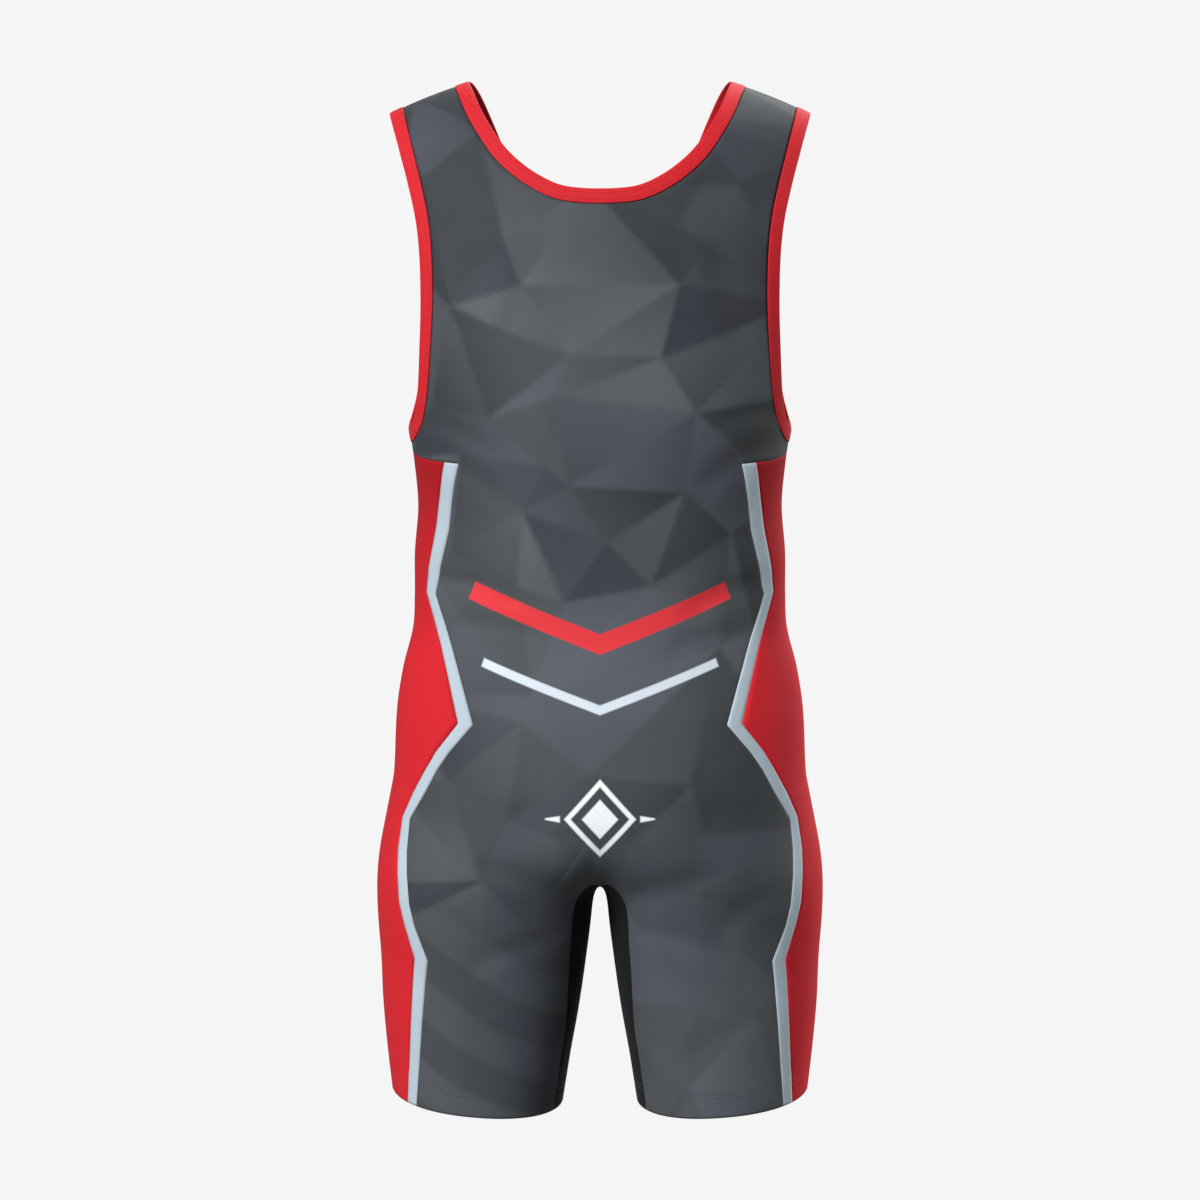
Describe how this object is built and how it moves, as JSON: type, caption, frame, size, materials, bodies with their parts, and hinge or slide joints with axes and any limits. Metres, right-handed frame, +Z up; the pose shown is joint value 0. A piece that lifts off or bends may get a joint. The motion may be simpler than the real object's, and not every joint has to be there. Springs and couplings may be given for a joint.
{
  "type": "wrestling singlet",
  "caption": "Sleeveless one-piece stretch garment with scooped neck, bound armholes, zigzag side panels, an inner-thigh gusset and short legs, held in its worn shape.",
  "frame": {"origin": "midway between the two straps, level with the tops of the shoulders, where the wearer's shoulders hold the garment", "axes": "+Z up the body, -Y the way the wearer faces, +X towards the wearer's left side"},
  "size_m": [0.3866, 0.2359, 0.8928],
  "materials": {
    "printed_knit": "matt stretch knit with a faceted charcoal print",
    "red_knit": "matt red stretch knit",
    "pale_knit": "matt pale grey stretch knit",
    "black_knit": "matt black stretch knit",
    "red_binding": "folded red elastic binding, a little smoother than the knit"
  },
  "bodies": {
    "root": {"back_panel": "printed_knit", "front_panel": "printed_knit", "side_panel_left": "red_knit", "side_panel_right": "red_knit", "stripe_back_left": "pale_knit", "stripe_back_right": "pale_knit", "stripe_front_left": "pale_knit", "stripe_front_right": "pale_knit", "gusset": "black_knit", "neck_binding": "red_binding", "armhole_binding_left": "red_binding", "armhole_binding_right": "red_binding"}
  },
  "joints": []
}
